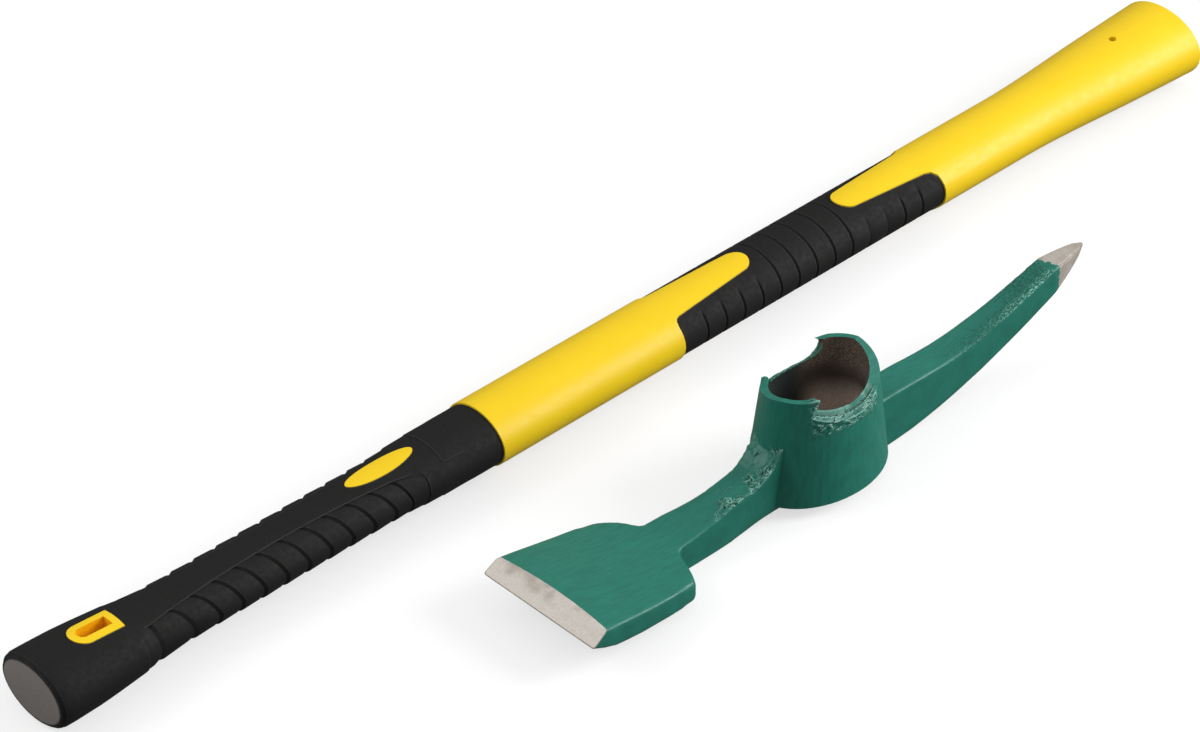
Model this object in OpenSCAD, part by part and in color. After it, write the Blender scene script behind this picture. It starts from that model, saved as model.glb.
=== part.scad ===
// A pick mattock taken apart: the forged head stands beside its moulded handle.
// The handle lies along X with its butt at -X, and the head's pick points the same way as the flare.

/* [Handle] */
// Length of the handle, butt face to flare face
handle_l = 900; // [860:5:960]
// Width of the bare yellow shaft
shaft_w = 47.8; // [47:0.1:52]
// Height of the bare yellow shaft
shaft_h = 36.4; // [36:0.1:39]
// Width of the flared end that jams in the eye
flare_w = 64.4; // [62:0.1:67]
// Height of the flared end
flare_h = 45.4; // [44:0.1:47]
// Width of the flare where the eye's throat sits
neck_w = 59.2; // [58.2:0.1:61]
// Height of the flare where the eye's throat sits
neck_h = 42.2; // [41.8:0.1:43]
// Length over which the shaft swells into the flare
swell_l = 100; // [85:1:115]
// Rounding of the flare's end edge
flare_edge = 1.4; // [0.8:0.1:2.5]
// Diameter of the fibreglass core rod
core_d = 21; // [16:0.5:22]
// Where the core rod starts, from the butt face
core_start = 68; // [64:1:90]
// Diameter of the locating pin hole in the flare
pin_d = 5; // [4:0.2:7]
// Depth of the locating pin hole
pin_depth = 8; // [4:0.5:9]
// Distance of the pin hole from the flare face
pin_back = 49.8; // [40:0.2:56]

/* [Lower grip] */
// Length of the lower grip from the butt face
grip_l = 316; // [306:1:330]
// Widest part of the butt knob
butt_w = 55.4; // [52:0.1:57]
// Height of the butt knob
butt_h = 41.6; // [39:0.1:42]
// Rounding of the rim of the flat butt face
butt_round = 5; // [3:0.1:6.5]
// Rubber behind the butt face before the jacket starts
butt_wall = 8; // [5:0.5:12]
// Length of the swelling knob
knob_l = 100; // [90:1:115]
// Width of the grip's waist
waist_w = 43.2; // [42:0.1:45]
// Height of the grip's waist
waist_h = 32.8; // [32:0.1:34]
// Width of the plain front collar
collar_w = 45.6; // [44:0.1:47]
// Height of the plain front collar
collar_h = 34.6; // [33.5:0.1:36]
// Length of the front collar
collar_l = 40; // [32:1:44]
// Least rubber thickness
grip_wall = 3; // [2.5:0.1:3.4]
// Start of the ribbed side panels from the butt face
panel_start = 61; // [59.5:0.5:64]
// End of the ribbed side panels
panel_end = 262.5; // [256:0.5:266]
// Round end of a ribbed panel
panel_round = 8; // [6:0.5:10]
// First groove between the ribs, at the smooth spine
rib_start = 69; // [66:0.5:74]
// Number of grooves along a panel
rib_count = 12; // [6:1:12]
// Distance between grooves
rib_pitch = 15.7; // [12:0.1:15.8]
// Depth of the grooves between ribs
rib_depth = 1.1; // [0.5:0.1:1.4]
// How far a groove leans forward from the spine to the side
rib_lean = 11.5; // [5:0.5:13]
// Step from the smooth spine down to the ribbed panel
spine_step = 0.6; // [0.3:0.1:1]
// Width of the smooth spine at its narrowest
spine_w = 17; // [15:0.5:20]
// Width of the smooth spine at the ends of the panels
spine_end_w = 28; // [22:0.5:30]
// Height of the plain pad on the collar
pad_step = 0.5; // [0.3:0.1:0.8]
// Length of the pad's free side edge
pad_l = 22; // [15:0.5:26]
// Length of the yellow oval on the spine
badge_l = 48.4; // [40:0.2:54]
// Width of the yellow oval on the spine
badge_w = 13; // [10:0.5:14]
// Centre of the yellow oval from the butt face
badge_x = 243.3; // [238:0.1:246]
// Height of the yellow parts above the rubber round them
yellow_proud = 0.4; // [0.2:0.1:0.8]

/* [Hang loop] */
// Start of the yellow D-shaped loop from the butt face
loop_x = 27.5; // [24:0.5:30]
// Length of the loop
loop_l = 30; // [28:0.5:32]
// Width of the loop
loop_w = 17; // [15:0.5:19]
// Wall of the loop round its hole
loop_wall = 4.5; // [3.5:0.1:5]

/* [Upper grip] */
// Start of the upper grip from the butt face
upper_x = 457; // [440:1:475]
// Length of the upper grip
upper_l = 218.5; // [210:0.5:230]
// Width of the upper grip
upper_w = 45.8; // [44.5:0.1:46.5]
// Height of the upper grip
upper_h = 34.8; // [34:0.1:35.4]
// Length of the lower yellow tongue
tongue_low_l = 71; // [58:1:75]
// Length of the upper yellow tongue
tongue_high_l = 72; // [58:1:76]
// Width of a tongue at its round tip
tongue_tip_w = 18; // [14:0.5:20]
// Width of a tongue at its root
tongue_root_w = 26; // [22:0.5:27]
// Round corner beside the root of the lower tongue
tongue_low_round = 5; // [3:0.5:8]
// Round corner beside the root of the upper tongue
tongue_high_round = 9; // [5:0.5:9]
// Number of grooves round the upper grip
groove_count = 13; // [9:1:14]
// Distance between grooves
groove_pitch = 15; // [12:0.1:15.2]
// First groove from the start of the grip
groove_start = 19.5; // [14:0.5:22]
// Width of a groove
groove_w = 2.6; // [1.8:0.1:3.4]
// Depth of a groove
groove_depth = 0.9; // [0.4:0.1:1.2]

/* [Eye and socket] */
// Depth of the taper that grips the flare
seat_l = 48; // [44:0.5:52]
// Play between the eye and the flare
eye_play = 0.6; // [0.3:0.1:1]
// Height of the two end tabs of the socket
socket_h = 75; // [73:0.5:82]
// Height of the flanks' lower rim
flank_z = 7.4; // [5:0.2:9]
// Length of the socket at its wide end
socket_low_l = 93; // [90:0.5:98]
// Width of the socket at its wide end
socket_low_w = 67; // [64:0.5:72]
// Length of the socket at its narrow end
socket_top_l = 75.6; // [74:0.2:80]
// Width of the socket at its narrow end
socket_top_w = 53; // [52:0.2:57]
// Eye length at the top of the tabs
rim_l = 69; // [66:0.5:70]
// Eye width at the top of the tabs
rim_w = 46.4; // [45:0.2:47]
// Height of the flank rim beside the blade tab
flank_blade_z = 62.6; // [60:0.2:66]
// Height of the flank rim beside the pick tab
flank_pick_z = 61.4; // [58:0.2:65]
// Outward fall of the flank rim
rim_lean = 38; // [20:1:42]
// Edge of the blade tab from the eye axis
tab_blade_x = 26; // [22:0.5:27]
// Overhang of the hooked tab edges
tab_hook = 4.5; // [2:0.5:5.5]
// Edge of the pick tab from the eye axis
tab_pick_x = 22; // [19:0.5:25]
// Round root of the pick tab
tab_round = 8; // [4:0.5:9]
// Slope of the blade tab's falling half
blade_tab_fall = 12; // [6:1:15]
// Slope of the pick tab's falling half
pick_tab_fall = 25; // [8:1:26]
// Where a tab starts to fall, past the middle
tab_flat = 6; // [0:0.5:8]

/* [Blade] */
// Reach of the cutting edge from the eye axis
blade_reach = 213; // [200:1:230]
// Width of the cutting edge
blade_w = 86.5; // [76:0.5:92]
// Width of the blade at its shoulder
shoulder_w = 72.5; // [64:0.5:74]
// Length of the broad plate
plate_l = 78.5; // [72:0.5:84]
// Length over which the arm opens into the plate
shoulder_l = 16.5; // [14:0.5:22]
// Lead of the far shoulder over the near one
shoulder_skew = 7; // [0:0.5:10]
// Extra width of the wide fillet at the far shoulder
fillet_w = 8; // [4:0.5:10]
// Length of the wide fillet along the arm
fillet_l = 45; // [30:1:50]
// How much farther the far side of the plate stands out at the shoulder than the near side
far_swell = 4; // [0:0.5:6]
// Width of the arm behind the plate
arm_w = 21.4; // [19:0.2:24]
// Width of the arm where it joins the socket
arm_root_w = 22.4; // [21:0.2:26]
// Length over which the arm draws in from the socket
arm_draw_l = 14; // [10:0.5:18]
// Height of the arm's top where the plate opens
arm_t = 19.6; // [18:0.2:22]
// Height of the arm's top where it joins the socket
arm_root_t = 29.5; // [26:0.5:33]
// Height of the arm's sweep up the socket
arm_sweep_h = 18; // [8:0.5:22]
// Length of the arm's sweep up the socket
arm_sweep_l = 22; // [16:0.5:26]
// Height of the arch under the arm
arm_arch = 4; // [3:0.5:9]
// Length over which the arch comes down to the floor
arch_l = 38; // [25:1:50]
// Thickness of the plate
plate_t = 16; // [14:0.5:18]
// Height of the plate's top at the edge, before grinding
blade_rise = 33.8; // [30:0.2:37]
// Height of the cutting edge
edge_z = 24.4; // [22:0.2:26]
// Thickness left at the cutting edge
edge_t = 0.8; // [0.4:0.1:1.5]
// Length of the ground bevel at the middle of the edge
bevel_l = 12.7; // [9:0.1:15]
// Length of the taper under the edge
under_l = 18; // [12:0.5:24]
// Fall of the plate's top from its middle to its sides
plate_crown = 1.6; // [1:0.1:2.6]

/* [Pick] */
// Reach of the point from the eye axis
pick_reach = 218.5; // [205:0.5:236]
// Height of the point
pick_tip_z = 50.8; // [47:0.2:54]
// Width of the pick beside the socket
pick_root_w = 21.4; // [19:0.2:24]
// Width of the pick where the point starts
pick_end_w = 15.4; // [13:0.2:18]
// Thickness of the pick beside the socket
pick_root_t = 36; // [32:0.5:38]
// Thickness of the pick at the middle
pick_mid_t = 25.5; // [22:0.5:28]
// Thickness of the pick where the point starts
pick_end_t = 18.6; // [16:0.2:20]
// Height of the pick's underside where the point starts
pick_sweep = 33.7; // [30:0.1:37]
// Length of the ground point
point_l = 29; // [24:0.5:34]
// Size of the blunt end of the point
point_end = 1.8; // [1.5:0.1:4]
// Edge rounding of the forged arms
forge_round = 1.9; // [1.5:0.1:3.2]

/* [Layout] */
// Distance from the handle's axis to the eye's axis
set_gap = 138; // [125:0.5:170]
// Place of the eye's axis along the handle, from the handle's middle
head_x = -2; // [-60:0.5:60]

/* [Hidden] */
$fn = 64;

// Overrun of cutting shapes
over = 2;

// Where the handle and the head lie
handle_y = (set_gap + blade_w / 2 - flare_w / 2) / 2;
head_y = handle_y - set_gap;
lie_angle = asin((flare_h - butt_h) / 2 / handle_l);

// Places along the handle, from the butt face
knob_x_share = 0.11;
knob_x = knob_l * knob_x_share;
collar_x = grip_l - collar_l;
upper_end = upper_x + upper_l;
neck_x = handle_l - seat_l;
swell_x = neck_x - swell_l;
pin_x = handle_l - pin_back;

// Smooth rising or falling curve through rows of [place, value]; flat stretches stay flat
function span(t, i) = (t[i + 1][1] - t[i][1]) / (t[i + 1][0] - t[i][0]);
function mean_slope(a, b) = a * b <= 0 ? 0 : 2 * a * b / (a + b);
function slope(t, i) =
    i == 0 ? span(t, 0) : i == len(t) - 1 ? span(t, i - 1) : mean_slope(span(t, i - 1), span(t, i));
function row_at(t, x, i = 0) = i + 2 >= len(t) || x < t[i + 1][0] ? i : row_at(t, x, i + 1);
function curve(t, x) =
    let (
        i = row_at(t, x),
        h = t[i + 1][0] - t[i][0],
        s = (x - t[i][0]) / h,
        r = 1 - s
    )
    (1 + 2 * s) * r * r * t[i][1] + s * r * r * h * slope(t, i)
    + s * s * (3 - 2 * s) * t[i + 1][1] - s * s * r * h * slope(t, i + 1);
function smooth(s) = let (c = max(0, min(1, s))) c * c * (3 - 2 * c);
function steps(a, b, n) = [for (i = [0 : n]) a + (b - a) * i / n];

// Closed skin over rings of equal point counts, stacked along the axis they turn about
module skin(rings) {
    n = len(rings[0]);
    last = len(rings) - 1;
    sides = [
        for (i = [0 : last - 1], j = [0 : n - 1])
            let (a = i * n + j, b = i * n + (j + 1) % n)
            each [[a, b + n, b], [a, a + n, b + n]]
    ];
    near_end = [for (j = [0 : n - 1]) j];
    far_end = [for (j = [n - 1 : -1 : 0]) last * n + j];
    polyhedron([for (r = rings) each r], concat(sides, [near_end, far_end]));
}

// Angles round a handle section, close together at the edges of the smooth spine
spine_mid = asin(spine_w / waist_w);
spine_end = asin(spine_end_w / waist_w);
spine_edge = 1;
spine_steps = 3;
panel_steps = 6;
function quarter(spine) = concat(
    steps(0, spine - spine_edge, spine_steps),
    steps(spine + spine_edge, 90, panel_steps)
);
function half_turn(q) = concat(
    [for (i = [0 : len(q) - 2]) q[i]],
    [for (i = [len(q) - 1 : -1 : 1]) 180 - q[i]]
);
function ring_angles(spine) = [for (t = [90, 270], a = half_turn(quarter(spine))) t + a];
plain_angles = ring_angles(spine_mid);

function oval(size) = [for (a = plain_angles) [cos(a) * size[0] / 2, sin(a) * size[1] / 2]];
function oval_ring(x, size) = [for (p = oval(size)) [x, p[0], p[1]]];

// Width and height of the rubber of the lower grip
low_collar_w = collar_w - 2 * pad_step;
low_collar_h = collar_h - 2 * pad_step;
grip_w_rows = [
    [0, butt_w], [knob_x, butt_w], [knob_l, waist_w], [badge_x, waist_w],
    [collar_x, low_collar_w], [grip_l, low_collar_w]
];
grip_h_rows = [
    [0, butt_h], [knob_x, butt_h], [knob_l, waist_h], [badge_x, waist_h],
    [collar_x, low_collar_h], [grip_l, low_collar_h]
];
function grip_size(x) = [curve(grip_w_rows, x), curve(grip_h_rows, x)];

// Width and height of the yellow jacket in front of the lower grip
flare_w_rows = [[0, shaft_w], [swell_x, shaft_w], [neck_x, neck_w], [handle_l, flare_w]];
flare_h_rows = [[0, shaft_h], [swell_x, shaft_h], [neck_x, neck_h], [handle_l, flare_h]];
function shaft_size(x) = [curve(flare_w_rows, x), curve(flare_h_rows, x)];
pin_z = shaft_size(pin_x)[1] / 2 - pin_depth;
proud = [2 * yellow_proud, 2 * yellow_proud];
edge_cut = [2 * flare_edge, 2 * flare_edge];
corner_steps = 3;
loop_steps = 4;
badge_steps = 4;
swell_steps = 10;

module jacket_blank() {
    loop_end = loop_x + loop_l;
    low = concat(
        [butt_wall],
        steps(loop_x, loop_end, loop_steps),
        steps(badge_x - badge_l / 2, badge_x + badge_l / 2, badge_steps),
        [collar_x]
    );
    high = concat([grip_l - grip_wall], steps(swell_x, neck_x, swell_steps), [handle_l - flare_edge]);
    skin(concat(
        [for (x = low) oval_ring(x, grip_size(x) + proud)],
        [for (x = high) oval_ring(x, shaft_size(x))],
        [oval_ring(handle_l, shaft_size(handle_l) - edge_cut)]
    ));
}

// Oval bar along X that both the jacket and a grip are moulded to
module bar(x0, x1, size) {
    translate([x0, 0, 0])
        rotate([90, 0, 90])
            linear_extrude(x1 - x0) polygon(oval(size));
}

module loop_prism(wall, h) {
    r = loop_w / 2;
    x0 = loop_x + r;
    x1 = loop_x + loop_l - wall;
    translate([x0, 0, -h]) {
        cylinder(r = r - wall, h = 2 * h);
        translate([0, wall - r, 0]) cube([x1 - x0, loop_w - 2 * wall, 2 * h]);
    }
}

module badge_prism() {
    sides = 40;
    outline = [
        for (i = [0 : sides - 1]) [cos(360 * i / sides) * badge_l / 2, sin(360 * i / sides) * badge_w / 2]
    ];
    translate([badge_x, 0, 0]) linear_extrude(waist_h) polygon(outline);
}

// Space that the lower grip fills: round the bar, clear of the hang loop and the badge
module lower_zone() {
    under = grip_size(badge_x) - 2 * [grip_wall, grip_wall];
    difference() {
        bar(-over, grip_l, [2 * butt_w, 2 * butt_w]);
        bar(butt_wall, grip_l + over, under);
        loop_prism(0, butt_w + over);
        badge_prism();
    }
}

// Lower grip surface: the spine narrows to the middle, and the rings follow the leaning grooves
rib_place_shares = [0, 0.14, 0.86];
rib_cut_shares = [1, 0, 0.4];
panel_end_shares = [0, 0.06, 0.25, 0.6];
far_end_shares = [for (i = [len(panel_end_shares) - 1 : -1 : 0]) panel_end_shares[i]];
pad_angle = 48;
butt_steps = 3;
lean_power = 0.6;
lean_in = 2 * rib_pitch;
function spine_at(s) =
    let (t = abs(2 * s - panel_start - panel_end) / (panel_end - panel_start))
    spine_mid + (spine_end - spine_mid) * t * t;
function from_spine(a) = min(abs(a - 90), abs(a - 270), abs(a - 450));
function lean_share(t) = pow(max(0, min(1, t)), lean_power);
function lean_side(a, spine) = lean_share(((a > 270 ? 540 - a : a) - 90 - spine) / (90 - spine));
function panel_fade(s) = min(smooth((s - panel_start) / lean_in), smooth((panel_end - s) / lean_in));
function grip_point(s, a, spine, d) =
    let (
        x = s + rib_lean * panel_fade(s) * lean_side(a, spine),
        size = grip_size(x)
    )
    [x, (size[0] / 2 - d) * cos(a), (size[1] / 2 - d) * sin(a)];
function grip_ring(s, spine, side_cut, spine_cut) = [
    for (a = ring_angles(spine)) grip_point(s, a, spine, from_spine(a) > spine ? side_cut : spine_cut)
];
function in_panel(s, turn) =
    let (
        end = panel_round - min(s - panel_start, panel_end - s),
        side = panel_round - turn * PI / 180 * waist_w / 2
    )
    turn > 0 && end < panel_round && norm([max(0, end), max(0, side)]) < panel_round;
function panel_ring(s, cut) =
    let (spine = spine_at(s))
    [
        for (a = ring_angles(spine))
            grip_point(s, a, spine, in_panel(s, from_spine(a) - spine) ? cut + spine_step : 0)
    ];
function butt_ring(a) =
    let (inset = butt_round * (1 - sin(a)))
    grip_ring(butt_round * (1 - cos(a)), spine_end, inset, inset);

module lower_grip_blank() {
    knob = concat([knob_x], steps(loop_x, panel_start - grip_wall, loop_steps));
    ribs = [
        for (i = [0 : rib_count - 1], k = [0 : len(rib_place_shares) - 1])
            [rib_start + (i + rib_place_shares[k]) * rib_pitch, rib_depth * rib_cut_shares[k]]
    ];
    skin(concat(
        [for (a = steps(0, 90, butt_steps)) butt_ring(a)],
        [for (x = knob) grip_ring(x, spine_end, 0, 0)],
        [for (t = panel_end_shares) panel_ring(panel_start + t * panel_round, 0)],
        [for (r = ribs) if (r[0] < panel_end - panel_round) panel_ring(r[0], r[1])],
        [for (t = far_end_shares) panel_ring(panel_end - t * panel_round, 0)],
        [
            grip_ring(collar_x - pad_step, pad_angle, 0, 0),
            grip_ring(collar_x, pad_angle, 0, -pad_step),
            grip_ring(collar_x + pad_l, pad_angle, -pad_step, -pad_step),
            grip_ring(grip_l + over, pad_angle, -pad_step, -pad_step)
        ]
    ));
}

// Yellow tongues of the jacket that run into both ends of the upper grip, round-cornered at their roots
module tongue(root_x, tip_x, round) {
    dir = sign(tip_x - root_x);
    tip = tongue_tip_w / 2;
    root = tongue_root_w / 2;
    tip_steps = 12;
    side = concat(
        [[root_x - dir * over, root + round]],
        [
            for (a = steps(0, 90, corner_steps))
                [root_x + dir * round * (1 - cos(a)), root + round * (1 - sin(a))]
        ]
    );
    outline = concat(
        [for (p = side) [p[0], -p[1]]],
        [for (a = steps(-90, 90, tip_steps)) [tip_x + dir * tip * (cos(a) - 1), tip * sin(a)]],
        [for (i = [len(side) - 1 : -1 : 0]) side[i]]
    );
    translate([0, 0, -shaft_w]) linear_extrude(2 * shaft_w) polygon(outline);
}

// Space that the upper grip fills: full rings in the middle, side legs at the ends, clear of the tongues
module upper_zone() {
    difference() {
        bar(upper_x, upper_end, [2 * upper_w, 2 * upper_w]);
        bar(upper_x - over, upper_end + over, [upper_w, upper_h] - 2 * [grip_wall, grip_wall]);
        tongue(upper_x, upper_x + tongue_low_l, tongue_low_round);
        tongue(upper_end, upper_end - tongue_high_l, tongue_high_round);
    }
}

// Upper grip surface: rings round the middle, grooves only on the sides of the legs
side_reach = 30;
side_end = 56;
faint_share = 0.5;
function groove_x(i) = upper_x + groove_start + i * groove_pitch;
function past_high_tip(x) = x - upper_end + tongue_high_l;
function on_middle(x) = x > upper_x + tongue_low_l && past_high_tip(x) < 0;
function is_faint(x) = past_high_tip(x) > 0 && past_high_tip(x) < 2 * groove_pitch;
function on_side(a) =
    1 - smooth((min(abs(a - 180), abs(a - 360)) - side_reach) / (side_end - side_reach));
function groove_share(x, a) = on_middle(x) ? 1 : on_side(a) * (is_faint(x) ? faint_share : 1);
function upper_ring(x, cut) = [
    for (a = plain_angles)
        let (d = cut * groove_share(x, a))
        [x, (upper_w / 2 - d) * cos(a), (upper_h / 2 - d) * sin(a)]
];

module upper_grip_blank() {
    grooves = [
        for (i = [0 : groove_count - 1], k = [-1, 0, 1])
            [groove_x(i) + k * groove_w / 2, k == 0 ? groove_depth : 0]
    ];
    skin(concat(
        [upper_ring(upper_x - over, 0)],
        [for (g = grooves) upper_ring(g[0], g[1])],
        [upper_ring(upper_end + over, 0)]
    ));
}

// Oval of the socket and eye, as a ring at height z
eye_sides = 56;
function eye_ring(z, l, w) = [
    for (i = [0 : eye_sides - 1]) [cos(360 * i / eye_sides) * l / 2, sin(360 * i / eye_sides) * w / 2, z]
];

module socket_blank() {
    skin([eye_ring(flank_z, socket_low_l, socket_low_w), eye_ring(socket_h, socket_top_l, socket_top_w)]);
}

// The eye follows the flare with a little play, and opens again at the tabs
module eye() {
    play = 2 * eye_play;
    throat_z = flank_z + seat_l;
    skin([
        eye_ring(-over, flare_w + play, flare_h + play),
        eye_ring(flank_z, flare_w + play, flare_h + play),
        eye_ring(throat_z, neck_w + play, neck_h + play),
        eye_ring(socket_h, rim_l, rim_w),
        eye_ring(socket_h + over, rim_l, rim_w)
    ]);
}

// Cut that leaves a hooked tab at the blade end and a round-rooted tab at the pick end
module flank_cut(side) {
    arc_steps = 6;
    far = 2 * socket_h;
    out = socket_low_w / 2;
    in_share = 1 / 3;
    mid_z = (flank_blade_z + flank_pick_z) / 2;
    start = side > 0 ? out : rim_w * in_share;
    root = [tab_pick_x - tab_round, flank_pick_z + tab_round];
    outline = concat(
        [[tab_hook - tab_blade_x, far], [tab_hook - tab_blade_x, socket_h], [-tab_blade_x, flank_blade_z]],
        [for (a = steps(-90, 0, arc_steps)) root + tab_round * [cos(a), sin(a)]],
        [[tab_pick_x - tab_hook, socket_h], [tab_pick_x - tab_hook, far]]
    );
    translate([0, side * rim_w / 2, mid_z])
        rotate([-side * rim_lean, 0, 0])
            translate([0, start, -mid_z])
                rotate([90, 0, 0]) linear_extrude(out + rim_w * in_share) polygon(outline);
}

// Cut that lets each tab fall towards one flank
module tab_cut(side, fall) {
    low = socket_h - socket_low_w * tan(fall);
    outline = [
        [side * tab_flat, socket_h],
        [side * (tab_flat - socket_low_w), low],
        [side * (tab_flat - socket_low_w), socket_h + over],
        [side * tab_flat, socket_h + over]
    ];
    translate([side > 0 ? 0 : -socket_low_l, 0, 0])
        rotate([90, 0, 90]) linear_extrude(socket_low_l) polygon(outline);
}

// Rounded section of a forged arm between two heights; a broad one falls away to its sides
crown_steps = 6;
function arm_section(w, low, high, round) =
    let (
        r = min(round, w / 3, (high - low) / 3),
        y = w / 2 - r,
        crown = plate_crown * w * w / blade_w / blade_w,
        corner = [[1, low + r, 270], [1, high - r, 0], [-1, high - r, 90], [-1, low + r, 180]],
        arcs = [
            for (c = corner)
                [for (a = steps(c[2], c[2] + 90, corner_steps)) [c[0] * y + r * cos(a), c[1] + r * sin(a)]]
        ],
        top = [for (k = [1 : crown_steps - 1]) [y - 2 * y * k / crown_steps, high]],
        flat = concat(arcs[0], arcs[1], top, arcs[2], arcs[3])
    )
    [for (p = flat) [p[0], p[1] - (p[1] > (low + high) / 2 ? crown * 4 * p[0] * p[0] / w / w : 0)]];

// Blade arm, from the cutting edge in to the socket wall
socket_r = socket_low_l / 2;
root_share = 0.6;
root_x = socket_r * root_share;
arm_x = socket_r + arm_draw_l;
shoulder_x = blade_reach - plate_l;
open_x = shoulder_x - shoulder_l;
opening_x_share = 0.5;
opening_w_share = 0.62;
opening_x = open_x + shoulder_l * opening_x_share;
opening_w = arm_w + (shoulder_w - arm_w) * opening_w_share;
blade_w_rows = [
    [root_x, arm_root_w], [socket_r, arm_root_w], [arm_x, arm_w], [open_x, arm_w],
    [opening_x, opening_w], [shoulder_x, shoulder_w], [blade_reach, blade_w]
];
blade_top_rows = [[root_x, arm_root_t], [socket_r, arm_root_t], [open_x, arm_t], [blade_reach, blade_rise]];
plate_low = curve(blade_top_rows, shoulder_x) - plate_t;
under_low = curve(blade_top_rows, blade_reach - under_l) - plate_t;
blade_low_rows = [
    [root_x, arm_arch], [socket_r, arm_arch], [socket_r + arch_l, 0], [open_x, 0], [shoulder_x, plate_low],
    [blade_reach - under_l, under_low], [blade_reach, edge_z - edge_t]
];
root_steps = 6;
arm_steps = 5;
open_steps = 12;
plate_steps = 7;

function arm_sweep(r) = arm_sweep_h * pow(max(0, 1 - max(0, r - socket_top_l / 2) / arm_sweep_l), 2);
function blade_top(r) = curve(blade_top_rows, r) + arm_sweep(r);
function blade_skew(r) =
    shoulder_skew * min(smooth((r - open_x) / shoulder_l), smooth((blade_reach - r) / plate_l));
function far_fillet(r) =
    fillet_w * smooth((r - open_x + fillet_l) / fillet_l) * (1 - smooth((r - open_x) / shoulder_l));
function far_bulge(r) = far_swell * min(1, (blade_reach - r) / plate_l) * smooth((r - open_x) / shoulder_l);
function blade_point(r, w, p) =
    let (far_side = far_fillet(r) + far_bulge(r))
    [-r - blade_skew(r) * p[0] / shoulder_w, p[0] + far_side * max(0, p[0]) * 2 / w, p[1]];

module blade_blank() {
    places = concat(
        [root_x],
        steps(socket_top_l / 2, arm_x, root_steps),
        steps(arm_x + arm_draw_l / 2, open_x, arm_steps),
        [for (x = steps(open_x, shoulder_x + shoulder_l / 2, open_steps)) if (x > open_x) x],
        steps(shoulder_x + shoulder_l, blade_reach, plate_steps)
    );
    last = len(places) - 1;
    skin([
        for (i = [last : -1 : 0])
            let (
                r = places[i],
                w = curve(blade_w_rows, r),
                section = arm_section(w, curve(blade_low_rows, r), blade_top(r), forge_round)
            )
            [for (p = section) blade_point(r, w, p)]
    ]);
}

// Flat ground bevel above the cutting edge; the crowned plate gives it its bowed upper border
module bevel_cut() {
    top_x = blade_reach - bevel_l;
    top_z = curve(blade_top_rows, top_x);
    rise = (top_z - edge_z) / bevel_l;
    far = 2 * bevel_l;
    outline = [
        [-blade_reach - over, edge_z - over * rise],
        [-blade_reach + far, edge_z + far * rise],
        [-blade_reach - over, edge_z + far * rise]
    ];
    translate([0, blade_w, 0]) rotate([90, 0, 0]) linear_extrude(2 * blade_w) polygon(outline);
}

// Pick arm, from the socket wall out to the ground point
point_x = pick_reach - point_l;
pick_mid_x = (socket_r + point_x) / 2;
pick_w_rows = [[root_x, pick_root_w], [socket_r, pick_root_w], [point_x, pick_end_w]];
pick_t_rows = [
    [root_x, pick_root_t], [socket_r, pick_root_t], [pick_mid_x, pick_mid_t], [point_x, pick_end_t]
];
sweep_power = 1.7;
function pick_low(r) = pick_sweep * pow(max(0, r - socket_r) / (point_x - socket_r), sweep_power);
function pick_section(r) =
    arm_section(curve(pick_w_rows, r), pick_low(r), pick_low(r) + curve(pick_t_rows, r), forge_round);
pick_steps = 13;
tip_round_share = 0.25;
tip_round = point_end * tip_round_share;
tip_section = arm_section(point_end, pick_tip_z - point_end / 2, pick_tip_z + point_end / 2, tip_round);

// The ground faces of the point bow outwards, most on its far side: a low taper power keeps the middle full
point_steps = 6;
near_taper_power = 0.75;
far_taper_power = 0.45;
function point_section(share) =
    let (end = pick_section(point_x))
    [
        for (i = [0 : len(end) - 1])
            let (keep = pow(1 - share, end[i][0] > 0 ? far_taper_power : near_taper_power))
            tip_section[i] + (end[i] - tip_section[i]) * keep
    ];

module pick_blank() {
    places = concat([root_x], steps(socket_r - forge_round, point_x, pick_steps));
    skin(concat(
        [for (r = places) [for (p = pick_section(r)) [r, p[0], p[1]]]],
        [
            for (share = steps(0, 1, point_steps))
                if (share > 0)
                    [for (p = point_section(share)) [point_x + point_l * share, p[0], p[1]]]
        ]
    ));
}

// Puts the straight handle on the floor, touching at its knob and its flare
module laid() {
    translate([-handle_l / 2, handle_y, butt_h / 2]) rotate([0, -lie_angle, 0]) children();
}

module head() {
    color("seagreen")
        translate([head_x, head_y, 0])
            difference() {
                union() {
                    socket_blank();
                    blade_blank();
                    pick_blank();
                }
                eye();
                flank_cut(1);
                flank_cut(-1);
                tab_cut(1, pick_tab_fall);
                tab_cut(-1, blade_tab_fall);
                bevel_cut();
            }
}

module core_rod(start, end) {
    translate([start, 0, 0]) rotate([0, 90, 0]) cylinder(d = core_d, h = end - start);
}

module handle_core() {
    color("wheat") laid() core_rod(core_start, handle_l);
}

module handle_jacket() {
    color("gold")
        laid()
            difference() {
                jacket_blank();
                lower_zone();
                upper_zone();
                core_rod(core_start, handle_l + over);
                loop_prism(loop_wall, butt_w);
                translate([pin_x, 0, pin_z]) cylinder(d = pin_d, h = pin_depth + over);
            }
}

module lower_grip() {
    color("dimgray")
        laid()
            intersection() {
                lower_grip_blank();
                lower_zone();
            }
}

module upper_grip() {
    color("dimgray")
        laid()
            intersection() {
                upper_grip_blank();
                upper_zone();
            }
}

head();
handle_core();
handle_jacket();
lower_grip();
upper_grip();
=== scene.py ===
"""Looks of a pick mattock taken apart: a painted forged head beside its two-colour moulded handle.

Lengths are in metres. A named pair of values is a fade: a share is 0 at the first and 1 at the second.
"""
import bmesh
import bpy
import math
import numpy as np
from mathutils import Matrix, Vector, noise


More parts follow.
